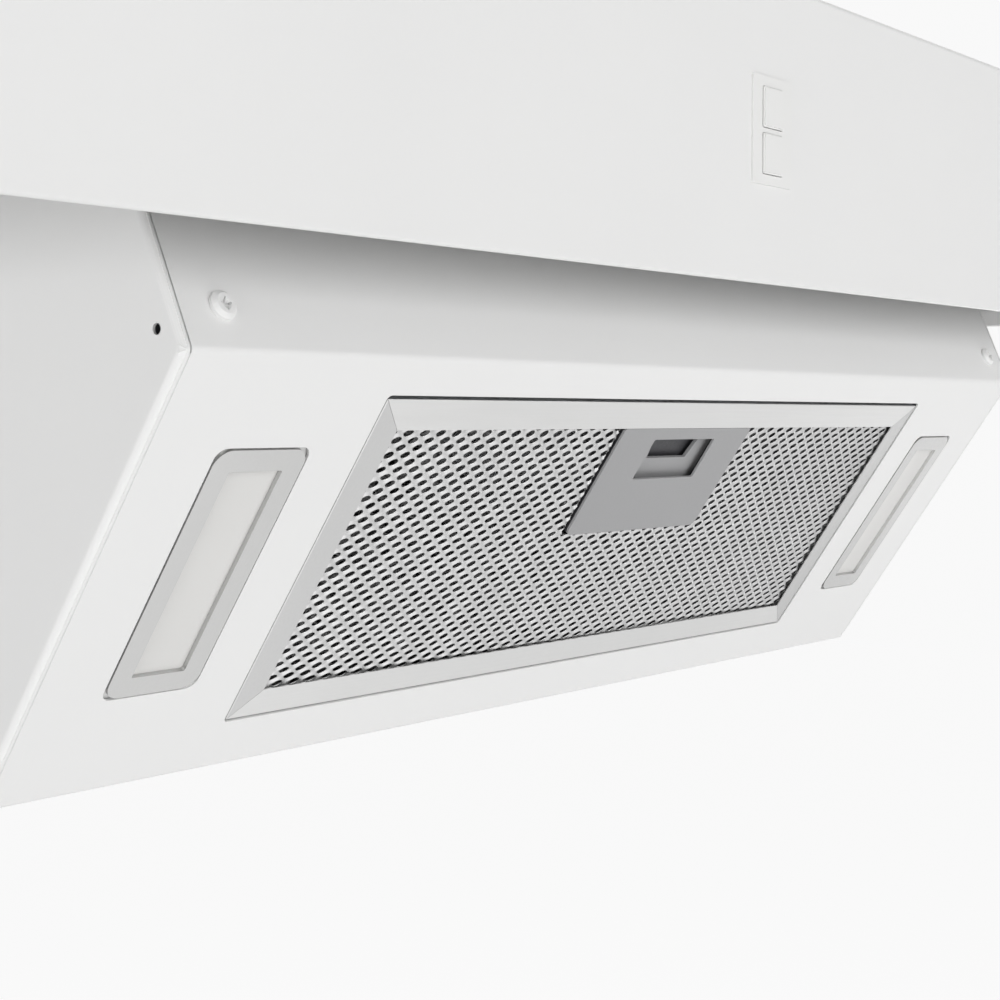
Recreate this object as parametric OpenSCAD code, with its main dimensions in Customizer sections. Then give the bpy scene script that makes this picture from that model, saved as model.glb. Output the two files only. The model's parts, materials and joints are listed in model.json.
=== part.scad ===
// Under cabinet range hood: a wide folded canopy with an intake box hanging in it.
// Millimetres. X is the width, Y runs back to the wall, Z is up.
// The origin is the middle of the rear top edge, where wall and cabinet meet.

/* [Canopy] */
// Width of the canopy
canopy_w = 762; // [700:1:1000]
// Depth of the canopy, from the wall to the face of the fascia
canopy_d = 330; // [320:1:420]
// Height of the fascia and of the canopy's ends
canopy_h = 123; // [105:1:160]
// Height of the safe hem along the lower edges
hem_h = 9; // [6:0.5:14]

/* [Sheet] */
// Thickness of the steel sheet
sheet = 1.0; // [0.8:0.1:1.4]
// Inside radius of the tightest fold
fold_in = 0.6; // [0.4:0.1:2]
// Gap of a seam between two sheets
seam = 0.7; // [0.3:0.1:0.9]
// Clearance between a sheet and the flange behind it
lap = 0.2; // [0.1:0.1:0.4]
// Width of the hidden flanges
flange = 14; // [10:1:18]

/* [Intake box] */
// Width of the box
box_w = 600; // [560:1:640]
// Distance of the crease behind the face of the fascia
crease_back = 20; // [16:1:40]
// Distance of the crease below the fascia
crease_drop = 35; // [25:1:50]
// Lean of the face above the crease, from vertical
face_lean = 23.7; // [15:0.1:28]
// Slope of the face below the crease, from horizontal
slope = 55.6; // [50:0.1:62]
// Length of the sloping face
slope_len = 178.6; // [174:1:230]
// Depth of the return under the sloping face
toe_return = 16; // [12:1:24]

/* [Filter] */
// Width of the opening for the filter
cut_w = 405; // [340:1:420]
// Height of the opening, along the slope
cut_h = 142; // [136:1:160]
// Radius of the opening's corners
cut_r = 2; // [1:0.5:2.5]
// Distance of the opening below the crease
cut_top = 14.7; // [14:0.1:20]
// Gap above the filter
gap_top = 1.8; // [1:0.1:2.4]
// Gap below the filter
gap_low = 0.6; // [0.5:0.1:1.2]
// Gap at each side of the filter
gap_side = 1.0; // [0.6:0.1:2]
// Depth of the filter's face behind the sloping face
filter_in = 0.3; // [0.2:0.1:3]
// Thickness of the filter
filter_t = 9; // [8.5:0.5:12]
// Width of the filter's rails
rail_w = 12.6; // [12:0.1:18]
// Thickness of the rails' aluminium
rail_t = 0.5; // [0.4:0.1:1]
// Depth of the front mesh behind the filter's face
mesh_in = 2.2; // [1.8:0.1:2.6]
// Long way of the expanded metal
mesh_long = 17.6; // [12:0.1:24]
// Short way of the expanded metal
mesh_short = 12.4; // [9:0.1:16]
// Width of a strand of the expanded metal
strand = 3.6; // [1.5:0.1:4]
// Thickness of the expanded metal
mesh_t = 1; // [0.6:0.1:1.2]

/* [Catch] */
// Width of the catch's plate
plate_w = 98.6; // [80:0.2:120]
// Height of the catch's plate
plate_h = 53.2; // [48:0.2:64]
// Width of the finger window
window_w = 47; // [40:0.5:60]
// Height of the finger window
window_h = 20.2; // [18:0.2:26]
// Distance of the window from the plate's upper edge
window_top = 5.5; // [4:0.5:8]
// Depth of the slider's face behind the plate's face
slider_in = 3.8; // [3.4:0.1:4]
// Travel of the slider
slider_travel = 6; // [4:0.5:7]

/* [Lights] */
// Width of a light's opening
light_w = 41.6; // [30:0.2:46]
// Height of a light's opening, along the slope
light_h = 101.4; // [80:0.2:110]
// Distance of a light from the side of the box
light_side = 31.8; // [26:0.1:34]
// Distance of a light below the crease
light_top = 35.2; // [30:0.2:45]
// Width of the lens
lens_w = 23.4; // [16:0.2:28]
// Height of the lens
lens_h = 83.5; // [60:0.5:90]
// Depth of the lens behind the sloping face
lens_in = 1.5; // [1.2:0.1:3.4]

/* [Blower] */
// Radius of the impeller
fan_r = 75; // [62:0.5:78]
// Half of the inside width of the scroll
scroll_half = 75; // [62:0.5:86]
// Height of the scroll's centre below the top
scroll_drop = 150; // [146:1:160]
// Distance of the scroll's centre from the wall
scroll_back = 128; // [126:1:136]
// Least radius of the scroll, at its tongue
scroll_r0 = 81; // [80:0.5:84]
// Greatest radius of the scroll
scroll_r1 = 112; // [100:1:114]
// Number of blades
blades = 36; // [24:1:48]
// Radius of the motor
motor_r = 44; // [36:1:50]
// Radius of the motor's shaft
shaft_r = 4; // [3:0.5:6]

/* [Duct] */
// Outside radius of the duct collar
collar_r = 74.5; // [70:0.5:76]
// Height of the collar above the top
collar_h = 50; // [40:1:80]
// Height of the damper's rod above the top
damper_up = 12; // [10:1:20]
// Height of the stop bead above the top
bead_up = 3; // [2:0.5:5]

/* [Controls] */
// Width of the control bezel
bezel_w = 31.5; // [24:0.5:40]
// Height of the control bezel
bezel_h = 43.5; // [40:0.5:60]
// Side of a push button
button = 16.2; // [14:0.1:20]
// Travel of a push button
button_travel = 2.5; // [1.5:0.1:3]

/* [Fixings] */
// Radius of the holes for the screws into the cabinet
hang_r = 3.25; // [2.5:0.05:4]
// Spacing of those holes across
hang_x = 690; // [640:1:900]
// Spacing of those holes from front to back
hang_y = 220; // [180:1:260]
// Radius of the wiring knockout
knockout_r = 11.1; // [10:0.1:14]
// Radius of the fixing hole in each side panel
side_hole_r = 1.75; // [1.5:0.05:2.5]
// Distance of the side hole behind the crease
side_hole_back = 11.5; // [10:0.5:20]
// Distance of the side hole above the crease
side_hole_up = 6.1; // [4:0.1:10]
// Radius of a face screw's head
head_r = 4.8; // [4:0.1:5.5]
// Distance of the face screws from the side of the box
face_screw_side = 20.3; // [15:0.1:22]
// Distance of the face screws above the crease, along the face
face_screw_up = 14.6; // [12:0.1:18]

/* [Hidden] */
$fn = 48;

painted = [0.93, 0.93, 0.92];
galvanised = [0.72, 0.74, 0.76];
satin = [0.80, 0.80, 0.79];
grey = [0.60, 0.60, 0.61];

// folds: outer radius of a fold that also clears the flange behind the sheet
fold_r = fold_in + 2 * sheet + lap;
fold_steps = 6;
hem_w = 2 * sheet + 0.4;

// the box's profile in Y and Z, as sharp corners of its outer faces
crease = [crease_back - canopy_d, -canopy_h - crease_drop];
brow = [crease[0] + (-sheet - crease[1]) * tan(face_lean), -sheet];
toe = crease + slope_len * [cos(slope), -sin(slope)];
face_line = [brow + [flange, 0], brow, crease, toe, toe + [toe_return, 0]];
up_face = [sin(face_lean), cos(face_lean)];
down_slope = [cos(slope), -sin(slope)];
panel_half = box_w / 2 - fold_r - seam;

// filter and catch, in the frame of the filter's face
filter_w = cut_w - 2 * gap_side;
filter_h = cut_h - gap_top - gap_low;
rear_mesh_in = filter_t - rail_t - 0.1 - mesh_t;
plate_top = rail_w + 0.3;
plate_in = 0.2;
plate_r = 3.5;
notch_side = 1.8;
plate_t = 1;
housing_in = plate_in + plate_t + 0.1;
slider_w = 56;
slider_t = 1.4;
slider_z = plate_in + slider_in;
window_v = plate_top + window_top;
slider_top = window_v - slider_travel - 3.5;
slider_low = window_v + window_h + 6;
tongue_w = 24;
tongue_out = 1.0;
housing_w = plate_w - 1.6;
housing_wall = 1.5;
housing_low = plate_top + plate_h - 1;
housing_floor = filter_t - rail_t - 0.2;
housing_base = 1.2;
slider_play = 0.35;
seat_gap = 2.5;
seat_lip = 8;
seat_flange = 8.5;
seat_depth = filter_in + filter_t + 0.3;
tab_w = 22;
tab_x = 130;
tab_t = 0.6;
tab_reach = 6;
tab_play = 0.7;
tab_in = sheet + tab_play - filter_in;

// lights
light_r = 4.2;
light_proud = 0.2;
light_x = box_w / 2 - light_side - light_w / 2;
light_v = light_top + light_h / 2;
light_fit = 0.7;

// blower and duct
scroll_c = [-scroll_back, -scroll_drop];
tongue_a = 120;
collar_t = 1.2;
scroll_top = -sheet - collar_t;
scroll_steps = 30;
outlet_front = scroll_c[0] + scroll_r0 * cos(tongue_a);
outlet_back = scroll_c[0] + scroll_r1;
duct_y = (outlet_front + outlet_back) / 2;
collar_in = collar_r - 1;
flange_screw_in = 12;
flange_screw_x = 8;
inlet_r = fan_r - 13;
fan_half = scroll_half - 9;
blade_in = fan_r - 14;
bracket_x = scroll_half + sheet + 14;
grommet_h = 3;
bracket_t = 1.5;
bracket_reach = fan_r + 12;
foot_x = scroll_half + sheet + grommet_h;
motor_end = 14;
rod_r = 2;
bead_r = 1.2;
flap_t = 1;
flap_gap = 4.2;
flap_r = collar_in - 2;

// controls
bezel_t = 0.8;
bezel_r = 1;
bezel_z = -canopy_h / 2;
button_pitch = button + 2.4;
bezel_body = 2;
block_d = 15;
block_gap = 0.6;
plunger_r = 3;

// wiring
wiring_w = 110;
wiring_d = 58;
wiring_h = 46;
wiring_x = 225;
wiring_y = -wiring_d / 2 - sheet - 2;
pole_pitch = 12;
terminal_at = [wiring_x + 22, wiring_y + wiring_d / 2 - sheet - 0.05, -sheet - 26];

// motor capacitor and light driver on the back panel
capacitor_r = 17;
capacitor_l = 58;
clip_t = 1.1;
clip_fit = 0.1;
capacitor_at = [-200, -sheet - clip_t - clip_fit - 0.1 - capacitor_r, -70];
driver_size = [120, 24, 36];
driver_at = [-215, -sheet - 0.05, -140];
driver_hole_x = driver_size[0] / 2 - 5;

// --- helpers -------------------------------------------------------------------------------

function unit(v) = v / norm(v);
function left(v) = [-v[1], v[0]];
function backwards(list) = [for (i = [len(list) - 1:-1:0]) list[i]];
function turn(u, v) = atan2(u[0] * v[1] - u[1] * v[0], u * v);
function mitre(u, v) = (left(u) + left(v)) / (1 + u * v);

// the round of one fold, at a distance in from the outer face
function fold_arc(a, b, c, r, in) =
    let (u = unit(b - a), v = unit(c - b))
    let (centre = b + r * mitre(u, v), start = atan2(u[1], u[0]) - 90)
    [for (i = [0:fold_steps])
        let (angle = start + turn(u, v) * i / fold_steps)
        centre + (r - in) * [cos(angle), sin(angle)]];

// one face of a folded sheet whose outer corners are pts and whose folds all turn left
function fold_face(pts, radii, in) =
    let (last = len(pts) - 1)
    concat(
        [pts[0] + in * left(unit(pts[1] - pts[0]))],
        [for (i = [1:last - 1]) each fold_arc(pts[i - 1], pts[i], pts[i + 1], radii[i - 1], in)],
        [pts[last] + in * left(unit(pts[last] - pts[last - 1]))]);

// section of a folded sheet, from depth in to depth in + t
function folded(pts, radii, t, in = 0) =
    concat(fold_face(pts, radii, in), backwards(fold_face(pts, radii, in + t)));

// a line moved to its left by d, with mitred corners
function moved_line(pts, d) =
    let (last = len(pts) - 1)
    [for (i = [0:last])
        i == 0 ? pts[0] + d * left(unit(pts[1] - pts[0])) :
        i == last ? pts[last] + d * left(unit(pts[last] - pts[last - 1])) :
        pts[i] + d * mitre(unit(pts[i] - pts[i - 1]), unit(pts[i + 1] - pts[i]))];

// a section drawn in Y and Z, from x0 to x1
module along_x(x0, x1) {
    translate([x0, 0, 0])
        rotate([90, 0, 90])
            linear_extrude(x1 - x0)
                children();
}

// a section drawn in X and Z, from y0 to y1
module along_y(y0, y1) {
    translate([0, y1, 0])
        rotate([90, 0, 0])
            linear_extrude(y1 - y0)
                children();
}

// a box given by its two corners
module span(low, high) {
    translate(low)
        cube(high - low);
}

// the frame of the sloping face: Y runs down the slope and Z into the box
module on_slope() {
    translate([0, crease[0], crease[1]])
        rotate([-slope, 0, 0])
            children();
}

// the frame of the filter's face: Y runs down from its upper edge and Z into the box
module on_filter() {
    on_slope()
        translate([0, cut_top + gap_top, filter_in])
            children();
}

// the frame of the leaning face above the crease: Y runs up the face and Z into the box
module on_face() {
    translate([0, crease[0], crease[1]])
        rotate([90 - face_lean, 0, 0])
            mirror([0, 0, 1])
                children();
}

// a plate with round corners, centred, from z = 0 up
module round_plate(w, h, r, t) {
    linear_extrude(t)
        round_rect(w, h, r);
}

module round_rect(w, h, r) {
    corner = [for (q = [0:3])
        let (cx = (q == 0 || q == 3 ? 1 : -1) * (w / 2 - r), cy = (q < 2 ? 1 : -1) * (h / 2 - r))
        for (s = [0:fold_steps])
            let (angle = 90 * (q + s / fold_steps))
            [cx + r * cos(angle), cy + r * sin(angle)]];
    polygon(corner);
}

module both_sides() {
    children();
    mirror([1, 0, 0])
        children();
}

// section of a seam: the round corner, the step behind the next sheet and the flange.
// It starts at the corner, with the side along Y and the front along X.
module seam_section(reach) {
    polygon(folded([[0, fold_r], [0, 0], [fold_r, 0]], [fold_r], sheet));
    translate([fold_r - sheet, 0])
        square([sheet, 2 * sheet + lap]);
    translate([fold_r - sheet, sheet + lap])
        square([reach - fold_r + sheet, sheet]);
}

// --- canopy --------------------------------------------------------------------------------

module canopy_top() {
    half = canopy_w / 2 - fold_r - seam;
    color(painted)
        difference() {
            union() {
                span([-half, -canopy_d + fold_r + seam, -sheet], [half, 0, 0]);
                both_sides()
                    span([box_w / 2 + seam, -sheet, -2 * flange], [half - flange, 0, -sheet / 2]);
            }
            translate([0, duct_y, -2 * sheet])
                cylinder(r = collar_r + 0.5, h = 3 * sheet);
            for (x = [-1, 1], y = [-1, 1])
                translate([x * hang_x / 2, -canopy_d / 2 + y * hang_y / 2, -2 * sheet])
                    cylinder(r = hang_r, h = 3 * sheet);
            translate([wiring_x, wiring_y, -2 * sheet])
                cylinder(r = knockout_r, h = 3 * sheet);
        }
}

module front_fascia() {
    half = canopy_w / 2 - fold_r - seam;
    front = -canopy_d;
    hem = hem_w / 2;
    line = [[front + fold_r, 0], [front, 0], [front, -canopy_h], [front + hem_w, -canopy_h],
        [front + hem_w, -canopy_h + hem_h]];
    color(painted)
        difference() {
            union() {
                along_x(-half, half)
                    polygon(folded(line, [fold_r, hem, hem], sheet));
                span([-half, front + fold_r - sheet, -2 * sheet - lap], [half, front + fold_r, 0]);
                span([-half, front + fold_r - sheet, -2 * sheet - lap],
                    [half, front + flange, -sheet - lap]);
            }
            translate([0, front - sheet, bezel_z])
                rotate([-90, 0, 0])
                    round_plate(bezel_w - 3, bezel_h - 3, bezel_r, 3 * sheet);
        }
}

module canopy_end() {
    side = canopy_w / 2;
    hem = hem_w / 2;
    line = [[side, -fold_r], [side, -canopy_h], [side - hem_w, -canopy_h],
        [side - hem_w, -canopy_h + hem_h]];
    step = 2 * sheet + lap;
    color(painted) {
        along_y(-canopy_d + fold_r, 0)
            mirror([1, 0])
                translate([-2 * side, 0])
                    polygon(folded([for (p = line) [2 * side - p[0], p[1]]], [hem, hem], sheet));
        translate([side, -canopy_d, -canopy_h])
            linear_extrude(canopy_h - fold_r)
                mirror([1, 0])
                    polygon(folded([[0, fold_r], [0, 0], [fold_r, 0]], [fold_r], sheet));
        translate([side, -canopy_d, -canopy_h + hem_h + seam])
            linear_extrude(canopy_h - hem_h - 2 * seam - step)
                mirror([1, 0])
                    seam_section(flange);
        along_y(-canopy_d + flange + seam, 0)
            translate([side, 0])
                mirror([1, 0])
                    mirror([0, 1])
                        seam_section(flange);
        along_y(-canopy_d + fold_r, -canopy_d + flange + 2 * seam)
            translate([side, 0])
                mirror([1, 0])
                    mirror([0, 1])
                        polygon(folded([[0, fold_r], [0, 0], [fold_r, 0]], [fold_r], sheet));
    }
}

module canopy_end_right() {
    canopy_end();
}

module canopy_end_left() {
    mirror([1, 0, 0])
        canopy_end();
}

// --- intake box ----------------------------------------------------------------------------

module front_panel() {
    color(painted)
        difference() {
            along_x(-panel_half, panel_half)
                polygon(folded(face_line, [fold_r, fold_r, fold_r], sheet));
            on_slope() {
                translate([0, cut_top + cut_h / 2, -sheet])
                    round_plate(cut_w, cut_h, cut_r, 3 * sheet);
                both_sides()
                    translate([light_x, light_v, -sheet])
                        round_plate(light_w, light_h, light_r, 3 * sheet);
            }
            on_face()
                both_sides()
                    translate([box_w / 2 - face_screw_side, face_screw_up, -sheet])
                        cylinder(r = 2.2, h = 3 * sheet);
        }
}

// one straight run of the side panel's rounded front edge
module edge_run(a, b) {
    u = unit(b - a);
    translate([box_w / 2, a[0], a[1]])
        rotate([atan2(u[1], u[0]), 0, 0])
            rotate([-90, 0, 0])
                mirror([1, 0, 0])
                    mirror([0, 1, 0])
                        linear_extrude(norm(b - a))
                            polygon(folded([[0, fold_r], [0, 0], [fold_r, 0]], [fold_r], sheet));
}

module side_panel() {
    side = box_w / 2;
    inset = 4;
    high = brow - inset * up_face;
    low = toe - inset * down_slope;
    edge = [high, crease, low];
    inner = moved_line([brow, crease, toe], fold_r);
    step = 2 * sheet + lap;
    color(painted)
        difference() {
            union() {
                along_x(side - sheet, side)
                    polygon(concat(
                        [[brow[0] + fold_r, -sheet], inner[1], [toe[0] + fold_r / sin(slope), toe[1]]],
                        [[-sheet, toe[1]], [-sheet, -sheet]]));
                intersection() {
                    union() {
                        edge_run(brow, crease);
                        edge_run(crease, toe);
                    }
                    along_x(side - fold_r - seam, side)
                        polygon(fold_face(face_line, [fold_r, fold_r, fold_r], 0));
                }
                along_x(side - fold_r, side - fold_r + sheet)
                    polygon(folded(edge, [fold_r], step));
                along_x(side - flange - fold_r - 8, side - fold_r + sheet)
                    polygon(folded(edge, [fold_r], sheet, sheet + lap));
                span([side - flange, brow[0] + flange + 2, -2 * sheet], [side, -sheet, -sheet]);
                span([side - flange, toe[0] + toe_return + 2, toe[1]], [side, -sheet, toe[1] + sheet]);
                span([side - flange, -2 * sheet, toe[1] + 2 * sheet + lap],
                    [side, -sheet, -2 * sheet]);
            }
            translate([side, crease[0] + side_hole_back, crease[1] + side_hole_up])
                rotate([0, 90, 0])
                    cylinder(r = side_hole_r, h = 6 * sheet, center = true);
            on_face()
                translate([side - face_screw_side, face_screw_up, -sheet])
                    cylinder(r = 1.9, h = 6 * sheet);
        }
}

module side_panel_right() {
    side_panel();
}

module side_panel_left() {
    mirror([1, 0, 0])
        side_panel();
}

module bottom_pan() {
    half = box_w / 2 - sheet - lap;
    front = toe[0] + fold_r + 2;
    color(painted)
        span([-half, front, toe[1] + sheet], [half, -sheet, toe[1] + 2 * sheet]);
}

module back_panel() {
    color(painted)
        span([-box_w / 2, -sheet, toe[1]], [box_w / 2, 0, -sheet]);
}

module face_screws() {
    color(painted)
        on_face()
            both_sides()
                translate([box_w / 2 - face_screw_side, face_screw_up, 0])
                    pan_screw(head_r, 2.4, 1.85, 7);
}

// a pan-head screw whose head lies on z = 0 and whose shank points along +Z
module pan_screw(r, head, shank_r, length) {
    difference() {
        union() {
            translate([0, 0, -head / 2])
                cylinder(r = r, h = head / 2);
            translate([0, 0, -head])
                cylinder(r1 = r * 0.72, r2 = r, h = head / 2);
            translate([0, 0, -head / 2])
                cylinder(r = shank_r, h = length + head / 2);
        }
        for (a = [0, 90])
            rotate([0, 0, a])
                span([-r * 0.46, -0.4, -head - 1], [r * 0.46, 0.4, -head * 0.35]);
        translate([0, 0, -head - 0.01])
            cylinder(r1 = r * 0.38, r2 = 0.5, h = head * 0.7);
    }
}

// --- filter seat ---------------------------------------------------------------------------

module filter_seat() {
    inner_w = cut_w + 2 * seat_gap;
    inner_h = cut_h + 2 * seat_gap;
    top = cut_top - seat_gap;
    color(galvanised)
        on_slope()
            difference() {
                union() {
                    span([-inner_w / 2 - sheet - seat_flange, top - sheet - seat_flange, sheet],
                        [inner_w / 2 + sheet + seat_flange,
                            top + inner_h + sheet + seat_flange, 2 * sheet]);
                    span([-inner_w / 2 - sheet, top - sheet, sheet],
                        [inner_w / 2 + sheet, top + inner_h + sheet, seat_depth + sheet]);
                }
                span([-inner_w / 2, top, 0], [inner_w / 2, top + inner_h, seat_depth]);
                span([-inner_w / 2 + seat_lip, top + seat_lip, 0],
                    [inner_w / 2 - seat_lip, top + inner_h - seat_lip, seat_depth + 2 * sheet]);
                for (x = [-1, 1])
                    span([x * tab_x - tab_w / 2 - 1, top + inner_h - 1, 0],
                        [x * tab_x + tab_w / 2 + 1, top + inner_h + tab_reach + 1, seat_depth - 0.5]);
            }
}

// --- lights --------------------------------------------------------------------------------

module light_bezel() {
    color(satin)
        on_slope()
            translate([light_x, light_v, 0])
                difference() {
                    union() {
                        translate([0, 0, -light_proud])
                            round_plate(light_w - 2 * light_fit, light_h - 2 * light_fit,
                                light_r + 2, light_proud + sheet + 0.6);
                        translate([0, 0, sheet + 0.1])
                            round_plate(light_w + 5, light_h + 5, light_r + 2.5, 1);
                        translate([0, 0, sheet + 0.1])
                            round_plate(lens_w + 8, lens_h + 8, 3, 8);
                    }
                    translate([0, 0, -1])
                        round_plate(lens_w, lens_h, 0.8, lens_in + 2);
                    translate([0, 0, lens_in])
                        round_plate(lens_w + 4.4, lens_h + 4.4, 2, 10);
                }
}

module light_lens() {
    color([0.93, 0.92, 0.89])
        on_slope()
            translate([light_x, light_v, lens_in + 0.05])
                round_plate(lens_w + 4, lens_h + 4, 1.8, 2);
}

module light_board() {
    chips = 8;
    pitch = lens_h / chips;
    color([0.95, 0.95, 0.9])
        on_slope()
            translate([light_x, light_v, 6.5]) {
                round_plate(lens_w + 4, lens_h + 4, 1.8, 1.6);
                for (i = [0:chips - 1])
                    translate([0, (i - (chips - 1) / 2) * pitch, -0.8])
                        span([-1.75, -1.4, 0], [1.75, 1.4, 0.9]);
            }
}

// --- filter --------------------------------------------------------------------------------

// the channel's section: X runs in from the outer edge, Y from the face to the back
module rail_section() {
    r = rail_t + 0.05;
    polygon(folded([[rail_w, filter_t], [0, filter_t], [0, 0], [rail_w, 0]], [r, r], rail_t));
}

// a rail along +X from the origin, its outer edge on Y = 0, mitred at both ends
module rail(length) {
    join = 0.08;
    deep = rail_w + 1;
    intersection() {
        rotate([90, 0, 90])
            linear_extrude(length)
                rail_section();
        translate([0, 0, -1])
            linear_extrude(filter_t + 2)
                polygon([[join, 0], [length - join, 0],
                    [length - deep - join, deep], [deep + join, deep]]);
    }
}

module filter_rail_top() {
    color(satin)
        on_filter()
            difference() {
                translate([-filter_w / 2, 0, 0])
                    rail(filter_w);
                span([-tongue_w / 2 - 0.5, -1, slider_z - 0.4],
                    [tongue_w / 2 + 0.5, rail_w / 2, slider_z + slider_t + 0.4]);
            }
}

module filter_rail_bottom() {
    color(satin)
        on_filter()
            translate([filter_w / 2, filter_h, 0])
                rotate([0, 0, 180])
                    rail(filter_w);
}

module filter_rail_left() {
    color(satin)
        on_filter()
            translate([-filter_w / 2, filter_h, 0])
                rotate([0, 0, -90])
                    rail(filter_h);
}

module filter_rail_right() {
    color(satin)
        on_filter()
            translate([filter_w / 2, 0, 0])
                rotate([0, 0, 90])
                    rail(filter_h);
}

// expanded metal with staggered diamond openings; the catch's housing passes through it
module expanded(long, short, width) {
    edge = rail_t + 0.5;
    border = rail_w + 1;
    notch_w = plate_w / 2 + notch_side;
    notch_h = housing_low + 0.5;
    half_long = long / 2 - width;
    half_short = short / 2 - width;
    across = floor((filter_w / 2 - border) / (long / 2));
    rows = floor((filter_h - 2 * border - 2 * half_short) / (short / 2));
    difference() {
        span([-filter_w / 2 + edge, edge, 0], [filter_w / 2 - edge, filter_h - edge, mesh_t]);
        span([-notch_w, -1, -1], [notch_w, notch_h, mesh_t + 1]);
        for (i = [-across:across], j = [0:rows])
            let (x = i * long / 2, y = border + half_short + j * short / 2)
                if ((i + j) % 2 == 0 && abs(x) + half_long < filter_w / 2 - border
                    && (abs(x) - half_long > notch_w + 1 || y - half_short > notch_h + 1))
                    translate([x, y, -1])
                        linear_extrude(mesh_t + 2)
                            polygon([[half_long, 0], [0, half_short],
                                [-half_long, 0], [0, -half_short]]);
    }
}

module filter_mesh_front() {
    color([0.84, 0.84, 0.85])
        on_filter()
            translate([0, 0, mesh_in])
                expanded(mesh_long, mesh_short, strand);
}

module filter_mesh_rear() {
    color([0.78, 0.78, 0.79])
        on_filter()
            translate([0, 0, rear_mesh_in])
                expanded(2 * mesh_long, 2 * mesh_short, 1.5 * strand);
}

module filter_hinge_tabs() {
    color(galvanised)
        on_filter()
            for (x = [-1, 1])
                translate([x * tab_x, filter_h, 0]) {
                    span([-tab_w / 2, 0, tab_in], [tab_w / 2, tab_t - 0.15, 7]);
                    span([-tab_w / 2, 0, tab_in], [tab_w / 2, tab_reach, tab_in + tab_t]);
                }
}

// --- catch ---------------------------------------------------------------------------------

module latch_plate() {
    r = plate_r;
    low = plate_h;
    outline = concat(
        [[-plate_w / 2 + 0.8, 0], [-plate_w / 2, 0.8]],
        [for (s = [0:fold_steps]) let (a = 180 - 90 * s / fold_steps)
            [-plate_w / 2 + r + r * cos(a), low - r + r * sin(a)]],
        [for (s = [0:fold_steps]) let (a = 90 - 90 * s / fold_steps)
            [plate_w / 2 - r + r * cos(a), low - r + r * sin(a)]],
        [[plate_w / 2, 0.8], [plate_w / 2 - 0.8, 0]]);
    color(grey)
        on_filter()
            translate([0, plate_top, plate_in])
                difference() {
                    linear_extrude(plate_t)
                        polygon(outline);
                    translate([0, window_top + window_h / 2, -1])
                        round_plate(window_w, window_h, 1, plate_t + 2);
                }
}

module latch_housing() {
    half = housing_w / 2;
    top = plate_top;
    inside = housing_floor - housing_base;
    color([0.35, 0.35, 0.36])
        on_filter() {
            difference() {
                span([-half, top, housing_in], [half, housing_low, housing_floor]);
                span([-half + housing_wall, top - 1, housing_in - 1],
                    [half - housing_wall, housing_low - housing_wall, inside]);
            }
            // rails under the slider's edges, and guides beside it
            for (x = [-1, 1]) {
                span([x * (slider_w / 2 - 3) - 1, top, slider_z + slider_t + slider_play],
                    [x * (slider_w / 2 - 3) + 1, housing_low - 1, inside + 0.5]);
                span([x * (slider_w / 2 + slider_play + 0.6) - 0.6, top, slider_z],
                    [x * (slider_w / 2 + slider_play + 0.6) + 0.6, housing_low - 1, inside + 0.5]);
            }
        }
}

module latch_slider() {
    half = slider_w / 2;
    hole_top = window_v + 0.8;
    hole_low = plate_top + 17.6;
    hole_wide = 17.6;
    hole_narrow = 15;
    color([0.52, 0.52, 0.53])
        on_filter()
            translate([0, 0, slider_z])
                difference() {
                    union() {
                        span([-half, slider_top, 0], [half, slider_low, slider_t]);
                        span([-tongue_w / 2, -tongue_out, 0], [tongue_w / 2, slider_top + 1, slider_t]);
                    }
                    translate([0, 0, -1])
                        linear_extrude(slider_t + 2)
                            polygon([[-hole_wide, hole_top], [hole_wide, hole_top],
                                [hole_narrow, hole_low], [-hole_narrow, hole_low]]);
                }
}

module latch_spring() {
    low = housing_low - housing_wall - 0.1;
    high = slider_low + 0.1;
    half = tongue_w / 2;
    turns = 5;
    pitch = (low - high - 1) / turns;
    color([0.7, 0.7, 0.72])
        on_filter()
            translate([0, 0, slider_z + 0.3])
                for (i = [0:turns - 1])
                    let (y = high + i * pitch, s = i % 2 == 0 ? 1 : -1)
                        linear_extrude(1.2)
                            polygon([[-half * s, y], [-half * s, y + 1],
                                [half * s, y + pitch + 1], [half * s, y + pitch]]);
}

// --- blower --------------------------------------------------------------------------------

// inner face of the scroll: down the outlet's front wall, round the spiral and up the back
scroll_line = concat(
    [[outlet_front, scroll_top]],
    [for (i = [0:scroll_steps])
        let (a = tongue_a + (360 - tongue_a) * i / scroll_steps,
            r = scroll_r0 + (scroll_r1 - scroll_r0) * i / scroll_steps)
        scroll_c + r * [cos(a), sin(a)]],
    [[outlet_back, scroll_top]]);

module scroll_wrap() {
    color(galvanised)
        along_x(-scroll_half, scroll_half)
            polygon(concat(moved_line(scroll_line, -sheet), backwards(scroll_line)));
}

// the bell mouth turns in from the side plate to the eye of the impeller
module bell_mouth() {
    depth = 7;
    rotate_extrude()
        translate([inlet_r, 0])
            polygon(folded([[0, depth], [0, 0], [depth + 1, 0]], [depth - 1], sheet));
}

module scroll_side() {
    color(galvanised)
        difference() {
            union() {
                along_x(scroll_half, scroll_half + sheet)
                    polygon(moved_line(scroll_line, -sheet));
                span([scroll_half, outlet_front, scroll_top - sheet],
                    [scroll_half + 13, outlet_back, scroll_top]);
                translate([scroll_half + sheet, scroll_c[0], scroll_c[1]])
                    rotate([0, -90, 0])
                        bell_mouth();
            }
            translate([scroll_half - 12, scroll_c[0], scroll_c[1]])
                rotate([0, 90, 0])
                    cylinder(r = inlet_r, h = 20);
            for (y = [outlet_front + flange_screw_in, outlet_back - flange_screw_in])
                translate([scroll_half + flange_screw_x, y, scroll_top - 2])
                    cylinder(r = 2.2, h = 3);
        }
}

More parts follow.
